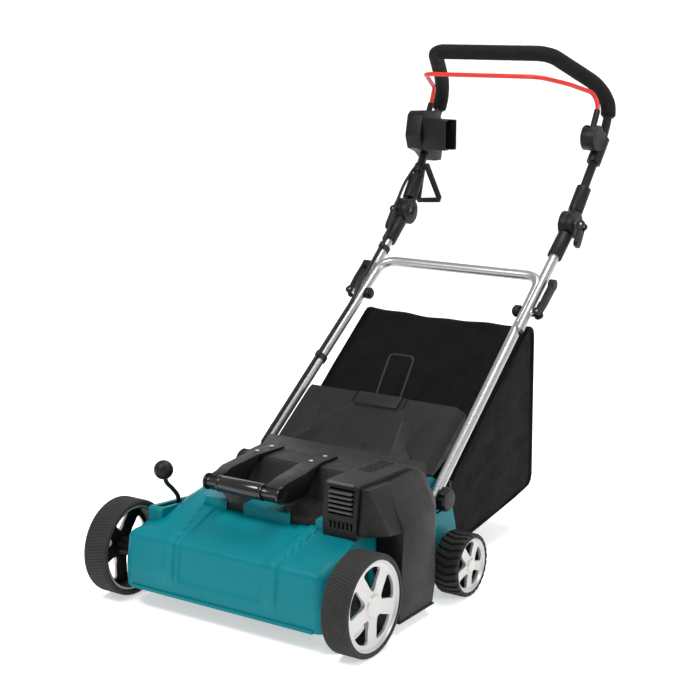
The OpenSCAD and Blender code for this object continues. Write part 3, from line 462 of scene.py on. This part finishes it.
def swept(name, pts, r, n=28):
    """Round bar along pts with parallel-carried rings; r is a number or a function of the share of the length."""
    pts = [Vector(p) for p in pts]
    dist = [0.0]
    for a, b in zip(pts, pts[1:]):
        dist.append(dist[-1] + (b - a).length)
    tan = [(pts[min(i + 1, len(pts) - 1)] - pts[max(i - 1, 0)]).normalized() for i in range(len(pts))]
    u = Vector((1, 0, 0)) if abs(tan[0].x) < 0.8 else Vector((0, 0, 1))
    verts = []
    for i, (p, t) in enumerate(zip(pts, tan)):
        u = (u - u.dot(t) * t).normalized()
        w = t.cross(u)
        q = r(dist[i] / dist[-1]) if callable(r) else r
        verts += [tuple(p + q * (cos(2 * pi * k / n) * u + sin(2 * pi * k / n) * w)) for k in range(n)]
    m = len(pts)
    faces = [(i * n + k, i * n + (k + 1) % n, (i + 1) * n + (k + 1) % n, (i + 1) * n + k)
             for i in range(m - 1) for k in range(n)]
    faces += [tuple(range(n))[::-1], tuple((m - 1) * n + k for k in range(n))]
    ob = raw(name, verts, faces)
    tidy(ob)
    return ob


def joined(name, parts):
    """One object from several that don't need to be fused."""
    bm = bmesh.new()
    for p in parts:
        bm.from_mesh(p.data)
    me = bpy.data.meshes.new(name)
    bm.to_mesh(me)
    bm.free()
    for p in parts:
        bpy.data.objects.remove(p)
    return link(name, me)


def mirrored(ob, name):
    """Copy of ob on the other side of the machine."""
    me = ob.data.copy()
    me.transform(Matrix.Diagonal((-1, 1, 1, 1)))
    me.flip_normals()
    return link(name, me)


def refine(node, width):
    """Copy of a CAD piece with whole faces and rounded edges."""
    me = nodes[node].data.copy()
    ob = link(node + "_fine", me)
    if "custom_normal" in me.attributes:
        me.attributes.remove(me.attributes["custom_normal"])
    flatten(ob)
    bevel(ob, width)
    piece(ob, nodes[node]["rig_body"], slot_of[node], node)


def ramp(x, a, b):
    """Smooth step from 0 at a to 1 at b."""
    t = np.clip((np.asarray(x, float) - a) / (b - a), 0, 1)
    return t * t * (3 - 2 * t)


def band(x, a, b, soft):
    """1 between a and b, falling to 0 over soft on either side."""
    return ramp(x, a - soft, a) * (1 - ramp(x, b, b + soft))


def arc(c, r, a0, a1, n=10):
    """n + 1 points of a circle about c from angle a0 to a1, in degrees."""
    return [(c[0] + r * cos(radians(a0 + (a1 - a0) * k / n)), c[1] + r * sin(radians(a0 + (a1 - a0) * k / n)))
            for k in range(n + 1)]


def resample(points, n):
    """n points evenly spaced along a polyline, with each one's share of the length."""
    pts = np.array(points, float)
    d = np.concatenate([[0], np.cumsum(np.hypot(*np.diff(pts, axis=0).T))])
    t = np.linspace(0, d[-1], n)
    return np.stack([np.interp(t, d, pts[:, 0]), np.interp(t, d, pts[:, 1])], 1), t / d[-1]


stage()

# ---- Handle tubes, bar, foam and bail ------------------------------------------

# PIVOT, BOLT and KNUCKLE are the joints of the right side; FOOT is the upper tube's axis at the bolt
PIVOT, BOLT, KNUCKLE = Vector((220, 345, 190)), Vector((207, 740, 495)), Vector((214, 935, 660))
FOOT, BAR_FIRST = Vector((213, 740, 495)), Vector((223, 1078, 850))
LEG, UPPER, BAR = (BOLT - PIVOT).normalized(), (KNUCKLE - FOOT).normalized(), (BAR_FIRST - KNUCKLE).normalized()
CORNER = BOLT + 103.6 * LEG
FOLD_X = 210  # plane where the two crimped tubes meet
TUBE_R, BAR_R, FOAM_R, BAIL_R, CABLE_R = 11, 10, 17, 5, 3.5
BAR_SIDE = [KNUCKLE + 36 * BAR, BAR_FIRST, (220, 1110, 912), (202, 1080, 958), (150, 958, 1024), (128, 944, 1030)]
BAIL_SIDE = [(216, 1044, 884), (216, 1057, 914), (206, 1050, 942), (178, 978, 964), (148, 912, 979), (130, 904, 981)]


def flip(p):
    """The same place on the left side."""
    return Vector((-p[0], p[1], p[2]))


def both_sides(points):
    """Path from the right end over the middle to the left end."""
    points = [Vector(p) for p in points]
    return points + [flip(p) for p in points[::-1]]


def crimp(ob, axis, start, end, side):
    """Presses a tube flat where it faces the other one at the fold; side is 1 for its outer face, -1 for its inner."""
    for v in ob.data.vertices:
        p = Vector((abs(v.co.x) * 1000, (v.co.y - Y0) * 1000, v.co.z * 1000))
        w = float(band((p - BOLT).dot(axis), start + 8, end - 8, 12))
        if w > 0:
            limit = FOLD_X - side * 0.15 + side * 14 * (1 - w)
            x = min(p.x, limit) if side > 0 else max(p.x, limit)
            v.co.x = math.copysign(x / 1000, v.co.x)


def dense(a, b):
    """Points every 6 mm or so from a up to b, b left out."""
    n = max(2, int((b - a).length / 6))
    return [a.lerp(b, k / n) for k in range(n)]


half = dense(PIVOT - 15 * LEG, BOLT + 20 * LEG) + [BOLT + 20 * LEG]
bend = curve_points([BOLT + 22 * LEG, CORNER, (0, CORNER.y, CORNER.z)], 58, 3)[:-1]
side = half + [p for p in bend if p.x > 20]
lower = swept("lower_handle_tube", both_sides(side), TUBE_R, 40)
crimp(lower, LEG, -62, 84, 1)
piece(lower, "lower_handle", "silver_paint", "lower_handle", angle=50)

top = KNUCKLE - 34 * UPPER
upper = swept("upper_tube", dense(FOOT - 50 * UPPER, top) + [top], TUBE_R, 40)
crimp(upper, UPPER, -60, 92, -1)
piece(joined("upper_tube_pair", [upper, mirrored(upper, "upper_tube_left")]), "upper_handle", "silver_paint",
      "upper_tubes", angle=50)

bar_path = curve_points(both_sides(BAR_SIDE), 30, 4)
piece(swept("bar_tube", bar_path, BAR_R, 32), "handlebar", "black_paint", "handlebar_tube", angle=50)
foam_path = [p for p in bar_path if p.z > 884]
foam_len = sum((b - a).length for a, b in zip(foam_path, foam_path[1:]))


def foam_radius(share):
    """Sleeve with rounded ends and shallow waves along its length."""
    end = min(share, 1 - share) * foam_len
    edge = FOAM_R - 4 * (1 - math.sqrt(max(0.0, 1 - (1 - min(end / 4, 1)) ** 2)))
    return edge - 0.25 * sin(end * 0.11) ** 2


foam_grip = swept("foam_sleeve", foam_path, foam_radius, 44)
piece(foam_grip, "handlebar", "foam_black", "foam_grip", angle=60)
bail_path = curve_points(both_sides(BAIL_SIDE), 20, 3)
piece(swept("bail_wire", bail_path, BAIL_R, 28), "bail", "red_coat", "bail_bar", angle=60)


# ---- Wheels -----------------------------------------------------------------------

WHEELS = {"front": ((0, 95), 95, 84.075), "rear": ((352, 63), 63, 54.18)}  # axle (y, z), tyre radius, rim radius


def both_wheels(right, end, kind, slot, *stands_for, angle):
    """Puts a right wheel's part and its mirrored copy on the two wheels of one end."""
    left = mirrored(right, f"{end}_{kind}_left")
    for ob, side in ((right, "right"), (left, "left")):
        piece(ob, f"{end}_{side}_wheel", slot, *(f"{end}_{side}_{n}" for n in stands_for), angle=angle)


def tyre(name, centre, r, rim_r, count, groove, zig, share, across=22, around=720):
    """Right tyre whose tread is cut by count grooves, groove deep: slanted, or in zigzag where share is large."""
    outer, w = 306.0, 57.0
    crown = [(6 + (w - 12) * k / across, r) for k in range(across + 1)]
    shoulder = [(0.9, r - 6.4), (1.0, r - 4.4), (2.0, r - 2.4), (3.8, r - 0.9)]
    flank = [(3.0, rim_r + 0.1), (1.2, rim_r + 0.8), (0.4, rim_r + 1.8)]
    line = flank + shoulder + crown + [(w - u, q) for u, q in (flank + shoulder)[::-1]]
    line += [(w - 6, rim_r), (6, rim_r)]
    verts = []
    for k in range(around):
        a = 2 * pi * k / around
        for u, q in line:
            if q > r - 5:
                t = (count * k / around + zig * (abs(u - w / 2) / w * 2 if share > 0.35 else u / w)) % 1
                q -= groove * float(band(t, 0.04, share, 0.05)) * (1 if q == r else 0.7)
            verts.append((outer - u, centre[0] + q * cos(a), centre[1] + q * sin(a)))
    return turned(name, verts, len(line), around)


for end, tread in (("front", (96, 1.2, 2.2, 0.3)), ("rear", (26, 3.4, 0.55, 0.42))):
    both_wheels(tyre(end + "_tyre_tread", *WHEELS[end], *tread), end, "tyre_tread", "tyre_black", "tyre", angle=40)


def window(reach):
    """Outline of one opening between two spokes, narrow at the hub, with all corners rounded."""
    polar = [(0.34, -9), (0.34, 9), (0.6, 19), (0.85, 24.5), (0.885, 0), (0.85, -24.5), (0.6, -19)]
    pts = [Vector((reach * r * cos(radians(a)), reach * r * sin(radians(a)))) for r, a in polar]
    for _ in range(3):
        pts = [p.lerp(q, t) for p, q in zip(pts, pts[1:] + pts[:1]) for t in (0.22, 0.78)]
    return pts


def rim(name, centre, reach):
    """Dished rim with its barrel and five spokes, on the +X side."""
    r = reach - 0.03
    line = [(303, r), (303.6, r - 1.6), (302.6, r - 3.4), (299.4, r - 5.6), (298.0, r * 0.84), (298.6, r * 0.55),
            (300.4, r * 0.34), (301.2, r * 0.27), (303.8, r * 0.24), (304.4, r * 0.2), (304.6, 0.001),
            (254, 0.001), (254, r * 0.18), (291, r * 0.21), (293.5, r * 0.5), (292.6, r * 0.84), (292, r - 5),
            (255, r - 4.4), (255, r)]
    return bevel(spoked(revolve(name, line, centre, 120), centre, reach), 0.9, 3, 35)


def spoked(body, centre, reach):
    """The five openings between the spokes, cut through a rim or its lining."""
    cuts = []
    for i in range(5):
        turn = Matrix.Rotation(radians(90 + 72 * i), 2)
        outline = [turn @ p for p in window(reach)]
        cuts.append(prism("cut", [(centre[0] + q.x, centre[1] + q.y) for q in outline], 280, 312))
    return cut_out(body, cuts)


def painted_shade_skin(name, centre, reach):
    """Painted shade on the inner side of the wheel: a thin black skin over the back of the dish, the barrel and the
    hub.
    """
    r, gap, wall = reach - 0.03, 0.3, 1.8
    line = [(254.2, r * 0.18 + gap), (290.7, r * 0.21 + gap), (293.2, r * 0.5), (292.3, r * 0.84),
            (291.7, r - 5.3), (255.2, r - 4.7), (255.2, r - 4.7 - wall), (290.2, r - 5.3 - wall),
            (292.3 - wall, r * 0.84), (293.2 - wall, r * 0.5), (290.7 - wall, r * 0.21 + gap + wall),
            (254.2, r * 0.18 + gap + wall)]
    return spoked(revolve(name, line, centre, 120), centre, reach)


# Each wheel gets its silver rim and, just inside it, a charcoal skin of painted shade
for end, (centre, _, reach) in WHEELS.items():
    both_wheels(rim(end + "_rim_dish", centre, reach), end, "rim_dish", "silver_plastic", "rim", angle=34)
    both_wheels(painted_shade_skin(end + "_rim_shade_skin", centre, reach), end, "rim_shade_skin", "charcoal_plastic", angle=34)


# ---- Deck --------------------------------------------------------------------------

DECK_X, ROUND, ROOF = 235.0, 22.0, 206  # half width, edge radius and height of the roof
CORE_X = DECK_X - ROUND


def roof(y):
    """Height of the hood and roof over the middle of the deck: a slope that rounds into the flat roof."""
    slope, blend = 157 + (y + 37) * 49 / 132, 7.0
    if y >= 324:
        return ROOF
    return -math.log(math.exp(-slope / blend) + math.exp(-ROOF / blend)) * blend


def hood_line():
    """Outside of the deck from the front lip over the hood to the rear, as (y, z)."""
    line = [(-59, 43), (-60, 60), (-60.5, 85), (-58, 110), (-55, 132)]
    line += arc((-37, 137), 18, 168, 112, 8)
    line += [(y, roof(y)) for y in range(-36, 326, 6)] + [(325.5, 206)]
    line += arc((325.5, 205), 1, 90, 0, 2) + [(327, 187)] + [(y, 186) for y in range(330, 386, 8)]
    line += [(386, 186), (396, 158), (406, 130), (412, 106), (416, 84)]
    return line


def hood_drop(x, y):
    """How far the left shoulder lies below the hood."""
    if x > -170 or y > 318:
        return 0.0
    gap = max(0.0, roof(y) - (158 + 0.15 * y))
    return gap * min(1.4, (-170 - x) / 47) * float(ramp(y, -52, -20))


def hood_rib(x, y):
    """Raised edge of the middle panel, with rounded ridges."""
    at = 107 + 0.14 * max(0.0, y + 40)
    return 4.5 * float(band(abs(x), at + 4, at + 21, 4.5)) * (1 - float(ramp(y, 80, 108)))


def grid_faces(rows, n):
    """Faces of a grid of rows with n vertices each."""
    return [(i * n + j, (i + 1) * n + j, (i + 1) * n + j + 1, i * n + j + 1)
            for i in range(rows - 1) for j in range(n - 1)]


def open_grid(name, verts, rows, n):
    """Grid of the deck without the lever's slot, the recesses of the handle legs and the mouth at the back."""
    kept = []
    for f in grid_faces(rows, n):
        x, y, z = (sum(verts[i][k] for i in f) / len(f) for k in range(3))
        slot = -209 < x < -191 and 12 < y < 112
        recess = abs(x) > 207 and 318 < y < 374 and z > 167
        mouth = abs(x) < 211 and y > 384 and 50 < z < 176
        if not (slot or recess or mouth):
            kept.append(f)
    return raw(name, verts, kept)


hood, hood_share = resample(hood_line(), 150)
course = np.gradient(hood, axis=0)
course /= np.linalg.norm(course, axis=1)[:, None] + 1e-9
outward = np.stack([-course[:, 1], course[:, 0]], 1)
# Each row across the deck is (x, how far it lies inside the outline): round edges and a flat middle
edge_rows = [(CORE_X + ROUND * cos(a), ROUND * (1 - sin(a))) for a in np.linspace(0, pi / 2, 8)]
deck_rows = edge_rows + [(x, 0.0) for x in np.linspace(CORE_X, -CORE_X, 150)[1:-1]]
deck_rows += [(-x, i) for x, i in edge_rows[::-1]]
verts = []
for x, inset in deck_rows:
    for (y, z), (ny, nz), t in zip(hood, outward, hood_share):
        front = 1 - float(ramp(y, -42, 10))
        pull = inset * front + inset * 0.16 * (1 - front)
        yy, zz = y - ny * pull, z - nz * pull
        draft = 5.0 * float(ramp(zz, 60, 200)) * (abs(x) > CORE_X)
        xx = math.copysign(abs(x) - (draft if y < 320 else 0), x)
        zz -= hood_drop(xx, yy)
        lift = hood_rib(xx, yy) * float(ramp(t, 0.02, 0.08))
        if abs(xx) < 101:
            lift -= 3.2 * float(band(abs(xx), 0, 95, 4.5)) * float(ramp(zz, 73, 80))
        verts.append((xx, yy + ny * lift, zz + nz * lift))
skin = open_grid("deck_skin", verts, len(deck_rows), len(hood))
tidy(skin)


def skirt(edge, side_x):
    """Side wall of the deck, as a grid hung from the skin's edge to the lower edge."""
    low_y, low_z = zip((-58, 43), (60, 30), (300, 20), (400, 22), (416, 26))
    steps = 8
    wall = []
    for x, y, z in edge:
        foot = min(float(np.interp(y, low_y, low_z)), z - 1)
        for k in range(steps + 1):
            f = k / steps
            wall.append((x + (side_x - x) * min(1, f * 1.6), y, z + (foot - z) * f))
    return open_grid("deck_skirt", wall, len(edge), steps + 1)


def thicken(ob, thickness, offset):
    """Gives a sheet its thickness, in metres."""
    m = ob.modifiers.new("solid", "SOLIDIFY")
    m.thickness, m.offset = thickness, offset
    apply(ob)
    tidy(ob)


shell = joined("deck_shell", [skin, skirt(verts[:len(hood)], DECK_X), skirt(verts[-len(hood):], -DECK_X)])
tidy(shell, 2e-4)
thicken(shell, 0.003, -1)
piece(shell, "chassis", "teal_plastic", "deck_housing", angle=32)


# Lever gate, motor cradle, axle bosses, pivot ears, hinge lugs, handle trays and front lip
inside = []
gate = prism("gate", [(0, 150), (0, 183), (5, 187), (112, 177), (118, 150)], -218, -184)
cut_out(gate, [block("cut", -208, -192, 12, 126, 100, 240), block("cut", -214, -188, 4, 116, 100, 165)])
inside.append(bevel(gate, 1.6, 3, 25))
motor_box = revolve("cradle", [(-102, 20), (-102, 64), (104, 64), (104, 20), (100, 20), (100, 60), (-98, 60),
                               (-98, 20)], (235, 186), 72)
cut_out(motor_box, [block("cut", -120, 120, 150, 320, 202, 260)])
inside.append(motor_box)
for s in (1, -1):
    pair = [revolve("boss", [(a, 0.001), (a, r), (b, r), (b, 0.001)], c, 40, False)
            for a, b, r, c in ((219, 233, 21, (165, 72)), (225, 233, 17, (50, 118)), (218, 243, 14, (352, 63)))]
    ear = prism("ear", [(345 + 37.8, 182)] + arc((345, 190), 38, -6, 186, 24) + [(345 - 37.8, 182)], 202.2, 207.2)
    lug = prism("lug", [(359, 184)] + arc((368, 226), 9, 180, 0, 24) + [(377, 184)], 145, 155)
    pair += [bevel(ear, 1.2, 3, 25), bevel(lug, 0.8, 2, 25)]
    pair += [block("tray", 207, 232, 318, 374, 164, 168), block("tray", 207, 232, 315, 318, 164, 204),
             block("tray", 207, 232, 374, 377, 164, 184), block("tray", 204, 207.2, 315, 377, 164, 184)]
    for o in pair:
        inside.append(o if s > 0 else mirrored(o, "left"))
        if s < 0:
            bpy.data.objects.remove(o)
inside.append(bevel(block("lip", -212, 212, -63, -56, 42, 49), 1.6, 3, 25))
piece(joined("deck_inside", inside), "chassis", "teal_plastic", "deck_housing", angle=32)


# ---- Bag --------------------------------------------------------------------------

# Size of the bag in millimetres, whose cloth is a strip for top, rear and bottom, and two side panels
BAG_HALF, BAG_FRONT, BAG_DEPTH = 208.5, 432, 356
EDGE = 11.0
BAG_SLOPE = 0.773


def bag_top(y, z):
    """Height of the sloping top at y, where the slope is at height z above the rear corner."""
    return z + BAG_SLOPE * (y - 774)


bag_line = [(BAG_FRONT, 56), (529, 62), (716, 88)] + arc((770, 122), 24, -70, 0) + arc((768, 438), 20, 3, 122)
bag_line += [(620, bag_top(620, 468)), (BAG_FRONT, bag_top(BAG_FRONT, 461))]
outline, share = resample(bag_line, 190)
hub = np.array([BAG_FRONT, 126.0])
# Each row is (x, share of the way from the hub to the outline, inset): a side panel, a round edge, the strip
side_rows = [(BAG_HALF, k, EDGE) for k in np.linspace(0.0, 1.0, 36)]
bend_rows = [(BAG_HALF - EDGE + EDGE * cos(a), 1.0, EDGE * (1 - sin(a))) for a in np.linspace(0, pi / 2, 7)][1:]
half_rows = side_rows + bend_rows
grid = half_rows + [(x, 1.0, 0.0) for x in np.linspace(BAG_HALF - EDGE, -(BAG_HALF - EDGE), 72)[1:-1]]
grid += [(-x, k, i) for x, k, i in half_rows[::-1]]
pull = outline - hub
pull /= np.linalg.norm(pull, axis=1)[:, None] + 1e-9
verts = []
for x, k, inset in grid:
    base = hub + (outline - inset * pull - hub) * k
    for j, (y, z) in enumerate(base):
        t = share[j]
        free = float(ramp(y, 440, 520))
        if k < 1 or inset >= EDGE:
            puff = (2.2 * sin(pi * min(1, k)) * sin(pi * min(max((y - BAG_FRONT) / BAG_DEPTH, 0), 1))
                    + 1.1 * sin(y * 0.045 + z * 0.02) * sin(z * 0.033 + 1.3) - 0.9 * abs(sin(y * 0.021 - z * 0.047)))
            verts.append((math.copysign(abs(x) - 1.2 + free * (puff - 1.6), x), y, z))
            continue
        across = 1 - (abs(x) / BAG_HALF) ** 2
        a, b = outline[max(j - 1, 0)], outline[min(j + 1, len(outline) - 1)]
        d = (b - a) / (np.linalg.norm(b - a) + 1e-9)
        n = np.array([d[1], -d[0]])
        wrinkle = (1.6 * sin(x * 0.021 + t * 19) * sin(t * 33 + x * 0.011)
                   + 1.2 * sin(x * 0.06 + 3 * sin(t * 14)) * sin(t * 52))
        sag = -5.0 * across * float(band(t, 0.62, 0.93, 0.06)) + 2.0 * across * float(band(t, 0.34, 0.5, 0.08))
        off = free * (sag + wrinkle * min(1, 3 * across) - 1.0) * (1 if inset == 0 else 0.3)
        verts.append((x, y + n[0] * off, z + n[1] * off))
bag = raw("bag_shell", verts, [(a, d, c, b) for a, b, c, d in grid_faces(len(grid), len(outline))])
tidy(bag)
thicken(bag, 0.0016, 0)
piece(bag, "bag", "bag_fabric", "bag_cloth", angle=80)
piping = []
for s in (1, -1):
    pts = [(s * (BAG_HALF - 3), *(p - 2.2 * q)) for p, q in zip(outline[8:-2:2], pull[8:-2:2])]
    piping.append(swept("bag_piping_part", pts, 2.0, 10))
piping = piece(joined("bag_piping", piping), "bag", "bag_fabric", angle=60)


# ---- Flap and covers: ribs, recesses and the front edge -----------------------------

def on_flap(x, y, lift):
    """Point above the flap's outer face, which slopes up to the rear."""
    return (x, y, 233 + (y - 360) * math.tan(radians(35.5)) + lift)


def tray(name, corners, height, slope_in):
    """Raised panel of the flap with slanted sides; corners are (x, y) in plan, height is over its plane."""
    c = Vector((sum(p[0] for p in corners) / len(corners), sum(p[1] for p in corners) / len(corners)))
    top = [c + (Vector(p) - c) * slope_in for p in corners]
    panel = skinned(name, [on_flap(x, y, -1.5) for x, y in corners], [on_flap(x, y, height) for x, y in top])
    return bevel(panel, 1.0, 3, 20)


tabs = [plate("tab", [(-124, 57), (-124, 106), (-76, 68), (-70, 57)], 186, 209.4, 2.4),
        plate("tab", [(-31, 57), (-34, 93), (40, 96), (78, 60), (80, 57)], 186, 209.8, 2.4),
        plate("tab", [(136, 57), (132, 106), (160, 106), (160, 57)], 186, 210, 2.4)]
piece(joined("hood_tabs", tabs), "chassis", "teal_plastic", angle=30)
lips = [plate("lip", [(236, 110), (236, 235), (288, 235), (288, 110)], 19, 23, 1.4)]
piece(joined("belt_cover_lip", lips), "chassis", "charcoal_plastic", angle=30)
for s, where in ((1, "right"), (-1, "left")):
    cap = revolve("knuckle_cap_" + where, [(s * 186.5, 0.001), (s * 187, 8), (s * 188.6, 11.6), (s * 191, 12),
                                           (s * 191, 0.001)], (935, 660), 48, False)
    piece(cap, "upper_handle", "black_plastic", angle=40)

slats = [bevel(block("slat", 174, 224, 44.5, 52, 236.8 + 9 * i, 240.4 + 9 * i), 0.8, 2, 25) for i in range(5)]
slats += [bevel(block("slat", 171, 227, 45.5, 52, 291 - 1.5, 293), 0.8, 2, 25)]
piece(joined("louvre_slats", slats), "chassis", "charcoal_plastic", material="facet_plastic", angle=30)
trays = []
for s in (1, -1):
    edge = [(165, 474), (126, 456), (117, 402), (150, 372), (176, 370), (177, 474)]
    trays.append(tray("flap_panel", [(s * x, y) for x, y in edge], 2.0, 0.93))
crease = [(-100, 378), (100, 378), (84, 452), (46, 470), (-46, 470), (-84, 452)]
trays.append(tray("flap_crease", crease, 1.7, 0.95))
piece(joined("flap_panels", trays), "rear_flap", "charcoal_plastic", angle=30)
slot = [(22, 381), (34, 381), (34, 395), (22, 395)]
piece(tray("flap_slot_lip", slot, 3.0, 0.9), "rear_flap", "black_plastic")


# ---- Cable where it crosses the joints ------------------------------------------------

CABLE_OFF = 15.3  # from the tube's axis to the cable's
UP = Vector((0, -LEG.z, LEG.y)).normalized()
UP2 = Vector((0, -UPPER.z, UPPER.y)).normalized()


def beside(p, up):
    """Place on the left side where the cable lies on the tube at p."""
    return flip(p) + CABLE_OFF * up


def cable(name, pts):
    """Stretch of the cable where it crosses a joint between two bodies, from the first point's to the last's."""
    path = curve_points(pts, 24, 4)
    ob = swept(name, path, CABLE_R, 20)
    ob.data.materials.append(MATERIALS["cable_rubber"])
    smooth(ob, 60)
    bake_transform(ob)


leg_end, leg_top = beside(BOLT - 444 * LEG, UP), beside(BOLT - 44 * LEG, UP)
mid_low, mid_top = beside(FOOT + 48 * UPPER, UP2), beside(FOOT + 151 * UPPER, UP2)
leg, upper = flip(LEG), flip(UPPER)
cable("cable_at_deck", [leg_end + 6 * leg, leg_end, leg_end - 14 * leg, (-214, 372, 206), (-211, 374, 184)])
cable("cable_at_fold", [leg_top - 6 * leg, leg_top, leg_top + 20 * leg + 3 * UP, mid_low - 20 * upper + 3 * UP,
                        mid_low, mid_low + 6 * upper])
cable("cable_at_knuckle", [mid_top - 6 * upper, mid_top, mid_top + 30 * upper + 6 * UP2, (-221, 900, 672),
                           (-226, 948, 722), (-232, 1010, 758), (-238, 1060, 772), (-240, 1066, 784)])


# ---- Plain machine parts keep their CAD shape, with rounded edges ---------------

# Radius of the edges in millimetres
REFINED = {
    "motor_cover": 1.2, "belt_cover": 1.2, "carry_handle_arms": 1.2, "carry_grip": 0.6,
    "left_pivot_knob": 1.0, "right_pivot_knob": 1.0, "left_cam_lever": 0.9, "right_cam_lever": 0.9,
    "left_knuckle_lever": 0.9, "right_knuckle_lever": 0.9, "lower_knuckles": 1.2, "upper_knuckles": 1.2,
    "right_pod": 1.5, "switch_box": 2.0, "inlet_shroud": 0.6, "cable_hook": 1.2, "start_button": 0.6,
    "fold_nuts": 0.9, "bail_boots": 0.8, "rear_flap": 1.2, "bag_frame": 0.8}
for node, ob in nodes.items():
    if ob.hide_render:
        continue
    if node in REFINED:
        refine(node, REFINED[node])
    else:
        ob.data.materials.clear()
        ob.data.materials.append(MATERIALS[slot_of[node]])
